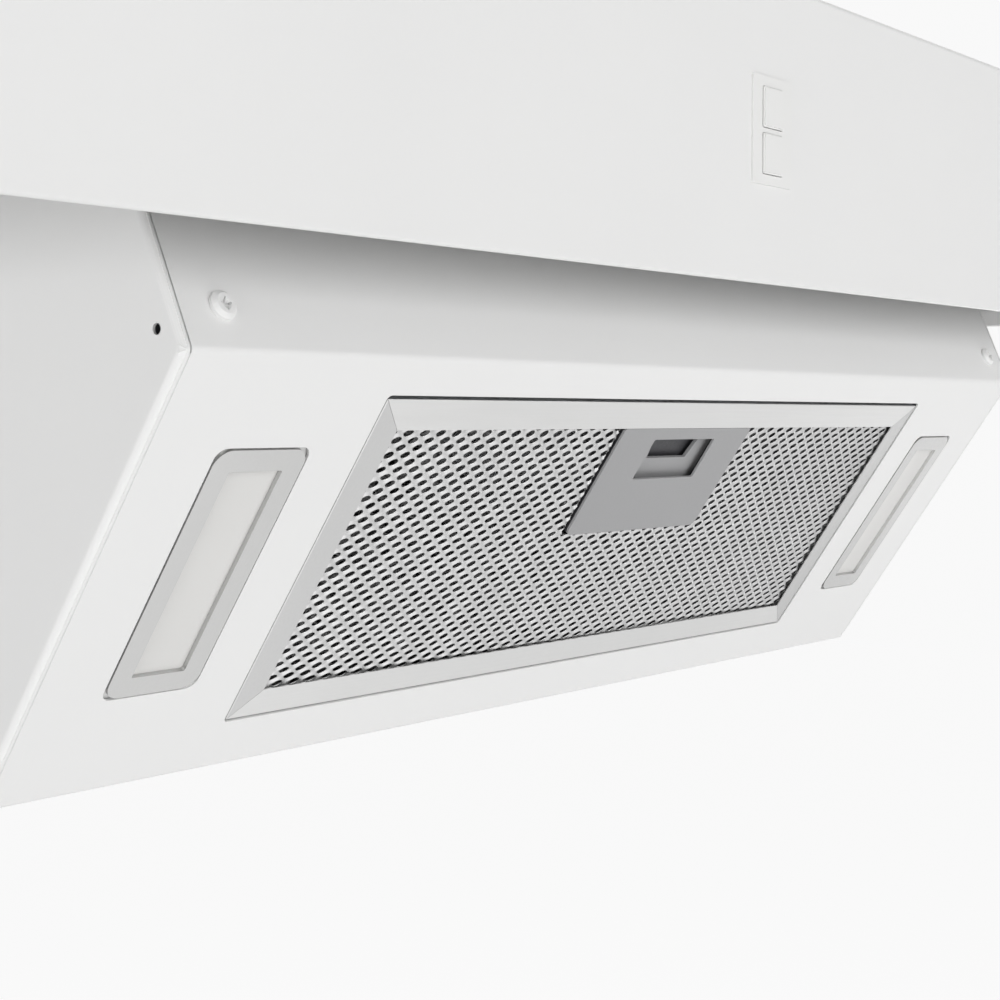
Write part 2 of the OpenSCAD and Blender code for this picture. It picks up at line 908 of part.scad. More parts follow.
module scroll_side_right() {
    scroll_side();
}

module scroll_side_left() {
    mirror([1, 0, 0])
        scroll_side();
}

module blower_screws() {
    color(galvanised)
        both_sides()
            for (y = [outlet_front + flange_screw_in, outlet_back - flange_screw_in])
                translate([scroll_half + flange_screw_x, y, scroll_top - sheet])
                    pan_screw(4, 2.2, 2, sheet + collar_t - 0.05);
}

// places its children on the three arms of the bracket, with Z pointing out to the left
module on_arms() {
    translate([0, scroll_c[0], scroll_c[1]])
        rotate([0, -90, 0])
            for (a = [60, 180, 300])
                rotate([0, 0, a])
                    children();
}

module motor_bracket() {
    color(galvanised)
        difference() {
            union() {
                translate([-bracket_x, scroll_c[0], scroll_c[1]])
                    rotate([0, -90, 0])
                        cylinder(r = 24, h = bracket_t);
                on_arms() {
                    span([16, -7, bracket_x], [bracket_reach, 7, bracket_x + bracket_t]);
                    span([bracket_reach - bracket_t, -7, foot_x], [bracket_reach, 7, bracket_x]);
                    span([bracket_reach - bracket_t, -7, foot_x],
                        [bracket_reach + 12, 7, foot_x + bracket_t]);
                }
            }
            on_arms()
                translate([bracket_reach + 5, 0, foot_x - 1])
                    cylinder(r = 2.3, h = bracket_t + 2);
            translate([-bracket_x - 5, scroll_c[0], scroll_c[1]])
                rotate([0, 90, 0])
                    cylinder(r = shaft_r + 4, h = 10);
        }
}

module motor_grommets() {
    color([0.12, 0.12, 0.12])
        on_arms()
            translate([bracket_reach + 5, 0, foot_x - grommet_h])
                difference() {
                    cylinder(r = 6.5, h = grommet_h);
                    translate([0, 0, -1])
                        cylinder(r = 2.2, h = grommet_h + 2);
                }
}

module bracket_screws() {
    color(galvanised)
        on_arms()
            translate([bracket_reach + 5, 0, foot_x + bracket_t])
                mirror([0, 0, 1])
                    pan_screw(4.5, 2.2, 2, bracket_t + grommet_h - 0.05);
}

module motor_housing() {
    length = bracket_x - motor_end;
    color([0.45, 0.46, 0.48])
        translate([-motor_end, scroll_c[0], scroll_c[1]])
            rotate([0, -90, 0])
                difference() {
                    union() {
                        translate([0, 0, 8])
                            cylinder(r = motor_r, h = length - 16);
                        cylinder(r1 = motor_r - 7, r2 = motor_r, h = 8);
                        translate([0, 0, length - 8])
                            cylinder(r1 = motor_r, r2 = motor_r - 7, h = 8);
                    }
                    translate([0, 0, -1])
                        cylinder(r = shaft_r + 0.05, h = length + 2);
                    for (a = [0:45:315])
                        rotate([0, 0, a])
                            translate([motor_r, 0, 14])
                                cylinder(r = 3, h = length - 28);
                }
}

module motor_shaft() {
    color([0.6, 0.6, 0.62])
        translate([-bracket_x - 4, scroll_c[0], scroll_c[1]])
            rotate([0, 90, 0])
                cylinder(r = shaft_r, h = bracket_x + 4 + 24);
}

module shaft_nut() {
    color([0.6, 0.6, 0.62])
        translate([14.2, scroll_c[0], scroll_c[1]])
            rotate([0, 90, 0])
                difference() {
                    cylinder(r = 2 * shaft_r, h = 6.5, $fn = 6);
                    translate([0, 0, -1])
                        cylinder(r = shaft_r + 0.02, h = 9);
                }
}

// a forward curved blade: a thin arc that ends just inside the rings
function blade_outline() =
    let (steps = 5, sweep = 62, thick = 1.0, chord = fan_r - blade_in - 1,
        r = chord / (2 * sin(sweep / 2)), mid = (fan_r + blade_in) / 2, rise = r * cos(sweep / 2))
    concat(
        [for (i = [0:steps]) let (a = 90 - sweep / 2 + sweep * i / steps)
            [mid + r * cos(a), r * sin(a) - rise]],
        [for (i = [steps:-1:0]) let (a = 90 - sweep / 2 + sweep * i / steps)
            [mid + (r - thick) * cos(a), (r - thick) * sin(a) - rise]]);

module impeller() {
    color([0.25, 0.26, 0.28])
        translate([0, scroll_c[0], scroll_c[1]])
            rotate([0, 90, 0])
                difference() {
                    union() {
                        for (i = [0:blades - 1])
                            rotate([0, 0, i * 360 / blades])
                                translate([0, 0, -fan_half])
                                    linear_extrude(2 * fan_half)
                                        polygon(blade_outline());
                        for (z = [-fan_half, fan_half - 2])
                            translate([0, 0, z])
                                difference() {
                                    cylinder(r = fan_r, h = 2);
                                    translate([0, 0, -1])
                                        cylinder(r = blade_in, h = 4);
                                }
                        translate([0, 0, -1])
                            cylinder(r = fan_r - 3, h = 2);
                        translate([0, 0, -10])
                            cylinder(r = 14, h = 24);
                    }
                    translate([0, 0, -12])
                        cylinder(r = shaft_r + 0.02, h = 30);
                }
}

// --- duct collar and damper ----------------------------------------------------------------

module duct_collar() {
    low = -sheet - collar_t;
    half_x = scroll_half + 15;
    color(galvanised)
        difference() {
            union() {
                span([-half_x, outlet_front - 10, low], [half_x, outlet_back + 10, -sheet]);
                translate([0, duct_y, low])
                    cylinder(r = collar_r, h = collar_h - low);
                translate([0, duct_y, bead_up])
                    rotate_extrude()
                        polygon([[collar_in + 0.2, -bead_r], [collar_r, -bead_r],
                            [collar_r + bead_r, 0], [collar_r, bead_r], [collar_in + 0.2, bead_r]]);
            }
            difference() {
                translate([0, duct_y, low - 1])
                    cylinder(r = collar_in, h = collar_h - low + 2);
                for (y = [-1, 1])
                    span([-9, duct_y + y * (collar_in - 2) - 3, damper_up - flap_t - 5.6],
                        [9, duct_y + y * (collar_in - 2) + 3, damper_up - flap_t - 2.4]);
            }
            translate([0, duct_y, damper_up])
                rotate([0, 90, 0])
                    cylinder(r = rod_r + 0.05, h = 3 * collar_r, center = true);
            both_sides()
                for (y = [outlet_front + flange_screw_in, outlet_back - flange_screw_in])
                    translate([scroll_half + flange_screw_x, y, low - 1])
                        cylinder(r = 2.2, h = 3);
        }
}

module damper_rod() {
    color([0.6, 0.6, 0.62])
        translate([0, duct_y, damper_up])
            rotate([0, 90, 0])
                cylinder(r = rod_r, h = 2 * collar_r - 0.4, center = true);
}

// one half disc that hangs on the rod by two knuckles, on the side y > 0
module damper_flap(knuckles) {
    width = 12;
    color([0.82, 0.82, 0.8])
        translate([0, duct_y, damper_up])
            difference() {
                union() {
                    intersection() {
                        translate([0, 0, -rod_r - 0.1 - flap_t])
                            cylinder(r = flap_r, h = flap_t);
                        span([-flap_r, flap_gap, -10], [flap_r, flap_r, 10]);
                    }
                    for (x = knuckles) {
                        translate([x - width / 2, 0, 0])
                            rotate([0, 90, 0])
                                cylinder(r = rod_r + 1.4, h = width);
                        span([x - width / 2, 0, -rod_r - 0.1 - flap_t],
                            [x + width / 2, flap_gap + 2, -rod_r - 0.1]);
                    }
                }
                rotate([0, 90, 0])
                    cylinder(r = rod_r + 0.06, h = 3 * flap_r, center = true);
            }
}

module damper_flap_rear() {
    damper_flap([-46, 20]);
}

module damper_flap_front() {
    translate([0, 2 * duct_y, 0])
        mirror([0, 1, 0])
            damper_flap([-20, 46]);
}

// --- controls ------------------------------------------------------------------------------

// the frame of the control's face: X across, Y up, Z out to the front
module on_control() {
    translate([0, -canopy_d, bezel_z])
        rotate([90, 0, 0])
            children();
}

module control_bezel() {
    color([0.9, 0.9, 0.89])
        on_control()
            difference() {
                union() {
                    round_plate(bezel_w, bezel_h, bezel_r, bezel_t);
                    translate([0, 0, -sheet - bezel_body])
                        round_plate(bezel_w - 3.6, bezel_h - 3.6, bezel_r, sheet + bezel_body + 0.1);
                }
                for (y = [-1, 1])
                    translate([0, y * button_pitch / 2, -10])
                        round_plate(button + 0.6, button + 0.6, 1.3, 20);
            }
}

module push_button(y) {
    color([0.93, 0.93, 0.92])
        on_control()
            translate([0, y, 0]) {
                translate([0, 0, -sheet - bezel_body])
                    round_plate(button, button, 1, sheet + bezel_body + bezel_t + 0.6);
                translate([0, 0, bezel_t + 0.5])
                    round_plate(button - 1.2, button - 1.2, 0.6, 0.5);
                translate([0, 0, -sheet - bezel_body - 4])
                    cylinder(r = plunger_r, h = 5);
            }
}

module fan_button() {
    push_button(button_pitch / 2);
}

module light_button() {
    push_button(-button_pitch / 2);
}

module switch_block() {
    face = -sheet - bezel_body - button_travel - block_gap;
    color([0.2, 0.2, 0.21])
        on_control()
            difference() {
                union() {
                    translate([0, 0, face - block_d])
                        round_plate(bezel_w - 2, bezel_h - 2, 1.5, block_d);
                    both_sides()
                        span([bezel_w / 2 - 1.5, -bezel_h / 2 + 6, face - block_d],
                            [bezel_w / 2 + 3, bezel_h / 2 - 6, -sheet - 0.1]);
                }
                for (y = [-1, 1])
                    translate([0, y * button_pitch / 2, face - 7])
                        cylinder(r = plunger_r + 0.4, h = 20);
            }
}

// --- wiring --------------------------------------------------------------------------------

module wiring_box() {
    color(galvanised)
        translate([wiring_x, wiring_y, -sheet - wiring_h])
            difference() {
                translate([-wiring_w / 2, -wiring_d / 2, 0])
                    cube([wiring_w, wiring_d, wiring_h]);
                translate([-wiring_w / 2 + sheet, -wiring_d / 2 + sheet, -1])
                    cube([wiring_w - 2 * sheet, wiring_d - 2 * sheet, wiring_h + 2]);
                translate([-wiring_w / 2 - 1, 0, wiring_h / 2])
                    rotate([0, 90, 0])
                        cylinder(r = 6, h = 3 * sheet);
            }
}

module wiring_cover() {
    color(galvanised)
        translate([wiring_x, wiring_y, -sheet - wiring_h - sheet - 0.05])
            difference() {
                translate([-wiring_w / 2, -wiring_d / 2, 0])
                    cube([wiring_w, wiring_d, sheet]);
                for (x = [-1, 1])
                    translate([x * (wiring_w / 2 - 8), 0, -1])
                        cylinder(r = 2, h = 3);
            }
}

module terminal_block() {
    poles = 3;
    deep = 14;
    color([0.9, 0.9, 0.86])
        translate(terminal_at)
            difference() {
                span([-poles * pole_pitch / 2, -deep, -9], [poles * pole_pitch / 2, 0, 9]);
                for (i = [0:poles - 1])
                    translate([(i - (poles - 1) / 2) * pole_pitch, -deep - 1, 0])
                        rotate([-90, 0, 0])
                            cylinder(r = 3, h = 10);
            }
}

module capacitor() {
    color([0.85, 0.85, 0.84])
        translate(capacitor_at)
            rotate([0, 90, 0]) {
                cylinder(r = capacitor_r, h = capacitor_l);
                translate([0, 0, capacitor_l - 1])
                    cylinder(r = capacitor_r / 2, h = 9);
            }
}

module capacitor_clip() {
    inside = capacitor_r + clip_fit;
    wide = 12;
    color(galvanised)
        translate(capacitor_at)
            rotate([0, 90, 0])
                translate([0, 0, (capacitor_l - wide) / 2])
                    difference() {
                        union() {
                            cylinder(r = inside + clip_t, h = wide);
                            span([-inside - 11, inside, 0], [inside + 11, inside + clip_t, wide]);
                        }
                        translate([0, 0, -1])
                            cylinder(r = inside, h = wide + 2);
                    }
}

module light_driver() {
    color([0.93, 0.93, 0.92])
        translate(driver_at)
            difference() {
                translate([-driver_size[0] / 2, -driver_size[1], -driver_size[2] / 2])
                    cube(driver_size);
                both_sides()
                    translate([driver_hole_x, -driver_size[1] - 1, 0])
                        rotate([-90, 0, 0])
                            cylinder(r = 2.2, h = driver_size[1] + 2);
            }
}

// --- the model -----------------------------------------------------------------------------

canopy_top();
front_fascia();
canopy_end_left();
canopy_end_right();
front_panel();
side_panel_left();
side_panel_right();
bottom_pan();
back_panel();
filter_seat();
mirror([1, 0, 0]) light_bezel();  // light_bezel_left
light_bezel();  // light_bezel_right
mirror([1, 0, 0]) light_lens();  // light_lens_left
light_lens();  // light_lens_right
mirror([1, 0, 0]) light_board();  // light_board_left
light_board();  // light_board_right
scroll_wrap();
scroll_side_left();
scroll_side_right();
motor_bracket();
motor_grommets();
motor_housing();
bracket_screws();
blower_screws();
duct_collar();
damper_rod();
control_bezel();
switch_block();
wiring_box();
wiring_cover();
terminal_block();
capacitor();
capacitor_clip();
light_driver();
face_screws();
filter_rail_top();
filter_rail_bottom();
filter_rail_left();
filter_rail_right();
filter_mesh_front();
filter_mesh_rear();
filter_hinge_tabs();
latch_plate();
latch_housing();
latch_spring();
latch_slider();
impeller();
motor_shaft();
shaft_nut();
damper_flap_front();
damper_flap_rear();
fan_button();
light_button();
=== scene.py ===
# %% [markdown]
# # An under cabinet range hood, finished in Blender
#
# The hood is a wide folded canopy with an intake box hanging inside it. The box carries a
# sloping panel with a mesh grease filter, a sliding catch and a light at each side. Its
# shapes come from a measured model in metres, +Z up, with the origin at the middle of the
# rear top edge. This lesson gives every piece its surface, and models what is too fine for
# the measured model: the filter's expanded metal and foil, the paint in the seams, and the
# catch's wire spring.

import json
import math

import bpy
import numpy as np
from mathutils import Matrix, Vector


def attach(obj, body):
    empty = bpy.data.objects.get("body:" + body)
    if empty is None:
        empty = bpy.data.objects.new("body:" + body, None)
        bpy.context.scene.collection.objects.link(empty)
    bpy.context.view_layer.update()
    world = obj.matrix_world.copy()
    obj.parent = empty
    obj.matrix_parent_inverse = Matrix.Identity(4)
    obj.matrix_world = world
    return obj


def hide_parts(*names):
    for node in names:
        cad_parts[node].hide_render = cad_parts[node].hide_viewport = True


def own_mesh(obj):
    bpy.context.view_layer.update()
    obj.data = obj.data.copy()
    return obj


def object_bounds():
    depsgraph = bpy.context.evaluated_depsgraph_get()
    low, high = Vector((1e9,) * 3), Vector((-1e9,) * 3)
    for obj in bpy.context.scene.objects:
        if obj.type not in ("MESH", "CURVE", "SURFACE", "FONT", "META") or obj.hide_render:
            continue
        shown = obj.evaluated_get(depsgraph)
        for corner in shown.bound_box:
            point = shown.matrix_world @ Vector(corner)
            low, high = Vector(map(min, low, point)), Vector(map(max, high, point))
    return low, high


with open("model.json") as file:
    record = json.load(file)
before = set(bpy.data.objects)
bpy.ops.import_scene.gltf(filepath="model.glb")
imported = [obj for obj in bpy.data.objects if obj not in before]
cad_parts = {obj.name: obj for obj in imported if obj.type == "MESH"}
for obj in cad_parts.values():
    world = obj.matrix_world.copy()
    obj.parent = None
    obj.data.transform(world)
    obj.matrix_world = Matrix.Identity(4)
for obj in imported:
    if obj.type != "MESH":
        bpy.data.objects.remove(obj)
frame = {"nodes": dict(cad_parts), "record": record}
nodes = frame["nodes"]
cad_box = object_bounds()
scene = bpy.context.scene
mm = 0.001
print("nodes", len(nodes), "box", [tuple(round(c, 4) for c in corner) for corner in cad_box])

# %% [markdown]
# The lower face of the box slopes back, and the filter, its catch and the lights all lie in
# it. It is easier to build them in the slope's own directions than in X, Y and Z. The catch's
# plate is flat and lies in that slope, so its least spread gives the direction out of the
# face, and the cross product with X gives the way down the slope.

# %% The slope's own directions
plate = np.array([v.co for v in nodes["latch_plate"].data.vertices])
spread = np.linalg.svd(plate - plate.mean(0), full_matrices=False)[2]
outward = spread[2] * (-1 if spread[2][2] > 0 else 1)
across = np.array([1.0, 0.0, 0.0])
downhill = np.cross(outward, across)
downhill *= 1 if downhill[2] < 0 else -1
slope_axes = np.array([across, downhill, outward])
print("slope", round(math.degrees(math.acos(-outward[1])), 2), "degrees from upright")


def slope_range(*names):
    """Lowest and highest place of some nodes: across, down the slope, and out of the face."""
    co = np.concatenate([[v.co for v in nodes[n].data.vertices] for n in names])
    local = co @ slope_axes.T
    return local.min(0), local.max(0)


def from_slope(points):
    return np.asarray(points) @ slope_axes


# %% [markdown]
# ## Camera and light
#
# The camera stands low at the left front corner of the canopy and looks a little down. Its
# long lens keeps the far end of the hood large.

# %% Camera
camera_place = Vector((-0.6533, -0.7, -0.178))
camera_aim = Vector((-0.0626, -0.2391, -0.2114))
camera_roll = math.radians(-0.012)
lens = bpy.data.cameras.new("camera")
lens.lens = 65.26
lens.sensor_width = 36
camera = bpy.data.objects.new("camera", lens)
scene.collection.objects.link(camera)
look = (camera_aim - camera_place).to_track_quat("-Z", "Y").to_matrix().to_4x4()
camera.matrix_world = Matrix.Translation(camera_place) @ look @ Matrix.Rotation(camera_roll, 4, "Z")
scene.camera = camera
print("camera", round((camera_aim - camera_place).length, 3), "m from its aim")

# %% [markdown]
# A white hood needs soft light from many sides, so that no face goes grey and none clips.
# The world gives an even light, and large soft lamps shape it. The camera and the
# reflections see a brighter, nearly white world than the one that lights the hood.

# %% World
scene.view_settings.view_transform = "Standard"
room_light = 0.25
seen_white = 0.945
world = bpy.data.worlds.new("room")
scene.world = world
world.use_nodes = True
tree = world.node_tree
tree.nodes.clear()


def add(tree, kind, **values):
    node = tree.nodes.new(kind)
    for key, value in values.items():
        setattr(node, key, value)
    return node


def background_ray(tree):
    """1 for a ray that shows the background: seen straight on, mirrored or through glass."""
    path = add(tree, "ShaderNodeLightPath")
    either = add(tree, "ShaderNodeMath", operation="MAXIMUM")
    any_of = add(tree, "ShaderNodeMath", operation="MAXIMUM")
    tree.links.new(path.outputs["Is Camera Ray"], either.inputs[0])
    tree.links.new(path.outputs["Is Transmission Ray"], either.inputs[1])
    tree.links.new(either.outputs[0], any_of.inputs[0])
    tree.links.new(path.outputs["Is Glossy Ray"], any_of.inputs[1])
    return any_of.outputs[0]


light = add(tree, "ShaderNodeBackground")
seen = add(tree, "ShaderNodeBackground")
pick = add(tree, "ShaderNodeMixShader")
out = add(tree, "ShaderNodeOutputWorld")
light.inputs["Strength"].default_value = room_light
light.inputs["Color"].default_value = (1, 1, 1, 1)
seen.inputs["Color"].default_value = (seen_white, seen_white, seen_white, 1)
tree.links.new(background_ray(tree), pick.inputs[0])
tree.links.new(light.outputs[0], pick.inputs[1])
tree.links.new(seen.outputs[0], pick.inputs[2])
tree.links.new(pick.outputs[0], out.inputs["Surface"])

# %% Lamps
hood_middle = (cad_box[0] + cad_box[1]) / 2


def soft_lamp(name, place, size, power):
    data = bpy.data.lights.new(name, "AREA")
    data.shape = "RECTANGLE"
    data.size, data.size_y = size
    data.energy = power
    lamp = bpy.data.objects.new(name, data)
    lamp.location = place
    aim = hood_middle - Vector(place)
    lamp.rotation_euler = aim.to_track_quat("-Z", "Y").to_euler()
    lamp.visible_camera = False
    scene.collection.objects.link(lamp)


soft_lamp("front_lamp", (0.1, -2.1, 0.3), (1.8, 1.4), 19)
soft_lamp("low_lamp", (0.0, -1.3, -1.3), (1.6, 1.2), 6)
soft_lamp("left_lamp", (-2.2, -0.5, -0.5), (1.4, 1.4), 21)
soft_lamp("right_lamp", (2.2, 0.35, -0.3), (1.4, 1.4), 16)
soft_lamp("back_lamp", (0.2, 1.7, 1.8), (1.8, 1.4), 50)

# %% [markdown]
# The hood hangs under a cabinet at head height, so the floor lies well below it and there is
# room to look up from under the hood. It is pale, and shows the hood's soft shadow.

# %% Floor
floor_drop = 1.6
floor_reach = 12
floor_share = 0.8  # how much of the floor's look is plain white, the rest shows shadow
floor_glow = 1.12
floor_z = cad_box[0].z - floor_drop
floor_mesh = bpy.data.meshes.new("floor")
floor_signs = ((-1, -1), (1, -1), (1, 1), (-1, 1))
corners = [(x * floor_reach, y * floor_reach, floor_z) for x, y in floor_signs]
floor_mesh.from_pydata(corners, [], [(0, 1, 2, 3)])
floor = bpy.data.objects.new("floor", floor_mesh)
scene.collection.objects.link(floor)
pale = bpy.data.materials.new("pale_floor")
pale.use_nodes = True
tree = pale.node_tree
shader = tree.nodes["Principled BSDF"]
shader.inputs["Base Color"].default_value = (0.8, 0.8, 0.8, 1)
shader.inputs["Roughness"].default_value = 0.9
glow = add(tree, "ShaderNodeEmission")
glow.inputs["Strength"].default_value = floor_glow
pick = add(tree, "ShaderNodeMixShader")
share = add(tree, "ShaderNodeMath", operation="MULTIPLY")
share.inputs[1].default_value = floor_share
tree.links.new(background_ray(tree), share.inputs[0])
tree.links.new(share.outputs[0], pick.inputs[0])
tree.links.new(shader.outputs[0], pick.inputs[1])
tree.links.new(glow.outputs[0], pick.inputs[2])
tree.links.new(pick.outputs[0], tree.nodes["Material Output"].inputs["Surface"])
floor_mesh.materials.append(pale)
print("floor at", round(floor_z, 3))

# %% [markdown]
# ## Finishes
#
# Each finish is one small node tree on a Principled shader. What is even all over is set on
# the shader itself. What varies comes from noise in the piece's own coordinates, in metres,
# so a grain of 1 mm is a noise scale of about 1000. Slow patches change the colour a little,
# and a fine grain changes the roughness and the relief.

# %% A helper for finishes


def finish(name, color, roughness, metallic=0.0, tint=0.02, patch=9, wear=0.06, grain=900,
           relief=0.00002, strength=0.3, stretch=(1, 1, 1), tilt=0.0, **sockets):
    """A material whose colour and roughness drift over patches, with a fine relief."""
    made = bpy.data.materials.new(name)
    made.use_nodes = True
    tree = made.node_tree
    shader = tree.nodes["Principled BSDF"]
    shader.inputs["Metallic"].default_value = metallic
    for key, value in sockets.items():
        shader.inputs[key.replace("_", " ")].default_value = value
    coord = add(tree, "ShaderNodeTexCoord")
    place = add(tree, "ShaderNodeMapping")
    place.inputs["Rotation"].default_value = (tilt, 0, 0)
    place.inputs["Scale"].default_value = stretch
    patches = add(tree, "ShaderNodeTexNoise")
    patches.inputs["Scale"].default_value = patch
    patches.inputs["Detail"].default_value = 3
    shade = add(tree, "ShaderNodeValToRGB")
    shade.color_ramp.elements[0].position = 0.3
    shade.color_ramp.elements[1].position = 0.7
    shade.color_ramp.elements[0].color = (*[c * (1 - tint) for c in color], 1)
    shade.color_ramp.elements[1].color = (*[min(c * (1 + tint), 1) for c in color], 1)
    rough = add(tree, "ShaderNodeMapRange")
    rough.inputs["From Min"].default_value = 0.3
    rough.inputs["From Max"].default_value = 0.7
    rough.inputs["To Min"].default_value = roughness - wear
    rough.inputs["To Max"].default_value = roughness + wear
    grains = add(tree, "ShaderNodeTexNoise")
    grains.inputs["Scale"].default_value = grain
    grains.inputs["Detail"].default_value = 2
    bump = add(tree, "ShaderNodeBump")
    bump.inputs["Strength"].default_value = strength
    bump.inputs["Distance"].default_value = relief
    tree.links.new(coord.outputs["Object"], place.inputs["Vector"])
    tree.links.new(coord.outputs["Object"], patches.inputs["Vector"])
    tree.links.new(place.outputs["Vector"], grains.inputs["Vector"])
    tree.links.new(patches.outputs["Fac"], shade.inputs["Fac"])
    tree.links.new(grains.outputs["Fac"], rough.inputs["Value"])
    tree.links.new(grains.outputs["Fac"], bump.inputs["Height"])
    tree.links.new(shade.outputs["Color"], shader.inputs["Base Color"])
    tree.links.new(rough.outputs["Result"], shader.inputs["Roughness"])
    tree.links.new(bump.outputs["Normal"], shader.inputs["Normal"])
    return made


# %% The finishes
slope_tilt = math.atan2(downhill[2], downhill[1])
along_width = (0.03, 1, 1)
down_slope = (1, 0.03, 1)
finishes = {
    "white_enamel": finish("white_powder_coat", (0.845, 0.845, 0.84), 0.45,
                           tint=0.008, relief=0.00003),
    "galvanised_steel": finish("galvanised_steel", (0.62, 0.64, 0.66), 0.42, 1.0,
                               tint=0.12, patch=70),
    "satin_bezel": finish("satin_bezel", (0.55, 0.55, 0.545), 0.36, 1.0,
                          stretch=down_slope, tilt=-slope_tilt),
    "satin_aluminium": finish("satin_aluminium", (0.67, 0.67, 0.665), 0.38, 1.0, stretch=along_width),
    # the side rails take a darker copy of the rail aluminium with its grain down the slope; the darker
    # colour is painted shade
    "side_rail_aluminium_painted_shade": finish("side_rail_aluminium_painted_shade", (0.55, 0.55, 0.548), 0.4, 1.0, tint=0.04,
                                  stretch=down_slope, tilt=-slope_tilt),
    "mesh_aluminium": finish("mesh_aluminium", (0.56, 0.56, 0.56), 0.45, 1.0, tint=0.05, patch=60),
    # the rear mesh and the foil take a dark copy of the aluminium: the darkness is painted shade inside
    # the filter
    "inner_aluminium_painted_shade": finish("inner_aluminium_painted_shade", (0.22, 0.22, 0.22), 0.45, 1.0, tint=0.3, patch=90),
    "milky_lens": finish("milky_lens", (0.72, 0.715, 0.70), 0.34, tint=0.01, patch=25,
                         wear=0.01, grain=60, strength=0.0),
    "circuit_board": finish("circuit_board", (0.8, 0.8, 0.76), 0.5),
    "black_rubber": finish("black_rubber", (0.03, 0.03, 0.03), 0.7, strength=0.6),
    "motor_casting": finish("motor_casting", (0.4, 0.41, 0.43), 0.5, 1.0, grain=1500, strength=0.7),
    "bright_steel": finish("bright_steel", (0.6, 0.6, 0.62), 0.3, 1.0),
    "damper_sheet": finish("damper_sheet", (0.75, 0.75, 0.74), 0.35, 1.0, stretch=along_width),
    "white_plastic": finish("white_plastic", (0.845, 0.845, 0.835), 0.35, tint=0.01),
    "pale_plastic": finish("pale_plastic", (0.78, 0.78, 0.75), 0.5),
    "dark_plastic": finish("dark_plastic", (0.05, 0.05, 0.055), 0.5),
    "grey_plastic": finish("grey_plastic", (0.34, 0.34, 0.345), 0.48, relief=0.00004, grain=1600),
    "fan_plastic": finish("fan_plastic", (0.06, 0.065, 0.07), 0.55),
}
slot_of = {row["node"]: row["material_slot"] for row in frame["record"]["subparts"]}
for name, piece in nodes.items():
    piece.data.materials.clear()
    piece.data.materials.append(finishes[slot_of[name]])
# the left and right rails get the darker copy of the aluminium: painted shade on these rails
for side in ("left", "right"):
    nodes["filter_rail_" + side].data.materials[0] = finishes["side_rail_aluminium_painted_shade"]
print("finishes", len(finishes))

# %% [markdown]
# ## Paint in the seams
#
# The front panel and the side panels are painted after they are screwed together, and the
# powder coat bridges the narrow seam down the slope. Only a faint groove is left there, so
# a thin bead of paint, a little hollow across its width, lies in each seam.

# %% A bead in each seam
panel_high = slope_range("front_panel")[1]
panel = np.array([v.co for v in nodes["front_panel"].data.vertices]) @ slope_axes.T
flatness = 0.02 * mm
flat_face = panel[panel[:, 2] > panel_high[2] - flatness]
seam_start, seam_end = flat_face[:, 1].min(), flat_face[:, 1].max()
seam_near = panel_high[0] - 0.1 * mm
seam_width = 0.9 * mm
bead_depth = (0.12, 0.3, 0.36, 0.3, 0.12)  # mm below the panel, across the bead
bead_thick = 0.3 * mm
bead_shares = np.linspace(0, 1, 41)
row = len(bead_depth)
for name, hand in (("left", -1), ("right", 1)):
    points, faces = [], []
    for share_down in bead_shares:
        for k, depth in enumerate(bead_depth):
            x = hand * (seam_near + seam_width * k / (row - 1))
            down = seam_start + (seam_end - seam_start) * share_down
            points.append((x, down, panel_high[2] - depth * mm))
    for i in range(len(bead_shares) - 1):
        for k in range(row - 1):
            first = i * row + k
            quad = (first, first + 1, first + row + 1, first + row)
            faces.append(quad if hand < 0 else quad[::-1])
    bead_mesh = bpy.data.meshes.new("seam_paint_" + name)
    bead_mesh.from_pydata(from_slope(points).tolist(), [], faces)
    bead_mesh.polygons.foreach_set("use_smooth", [True] * len(faces))
    bead_mesh.materials.append(finishes["white_enamel"])
    bead = bpy.data.objects.new("seam_paint_" + name, bead_mesh)
    scene.collection.objects.link(bead)
    solid = bead.modifiers.new("thickness", "SOLIDIFY")
    solid.thickness = bead_thick
    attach(bead, "hood")
print("seam beads", round((seam_end - seam_start) / mm), "mm long")

# %% [markdown]
# ## Expanded metal
#
# The filter's face is expanded aluminium: a sheet is slit and pulled, so that each slit opens
# to a flat eye and the strands between them tip over. The upper lip of each eye stands out
# and the lower lip lies back, so a bright scale shows under every dark eye. The eyes lie on a
# staggered lattice, and the lozenges round them tile the sheet, so one lozenge with an eye in
# it is built and repeated.

# %% One lozenge of expanded metal
side_steps = 3  # points on each side of a lozenge
eye_point = 1.3  # 1 is an oval eye, more is a more pointed one
lip_place = 0.72  # where the lip bends, from the border (0) to the eye (1)
lip_rise = 0.9  # how high it is there, as a share of the eye's edge


def lozenge(half_x, half_v, eye_x, eye_v, lift, thick):
    """Rings of one lozenge, from its border over the front lip to its border at the back."""
    steps = 4 * side_steps
    corner = np.array([(half_x, 0), (0, half_v), (-half_x, 0), (0, -half_v)])
    way_round = np.arange(steps) / side_steps
    side = way_round.astype(int)
    border = corner[side] + (corner[(side + 1) % 4] - corner[side]) * (way_round - side)[:, None]
    turn = 2 * math.pi * np.arange(steps) / steps
    pointed = np.sign(np.sin(turn)) * np.abs(np.sin(turn)) ** eye_point
    eye = np.stack([eye_x * np.cos(turn), eye_v * pointed], 1)
    raised = -lift * np.sin(turn)
    lip = border + (eye - border) * lip_place
    flat = np.zeros(steps)
    rings = ((border, flat), (lip, raised * lip_rise), (eye, raised),
             (eye, raised - thick), (border, flat - thick))
    return [np.column_stack(ring) for ring in rings]


# %% A mesh piece that rides the filter


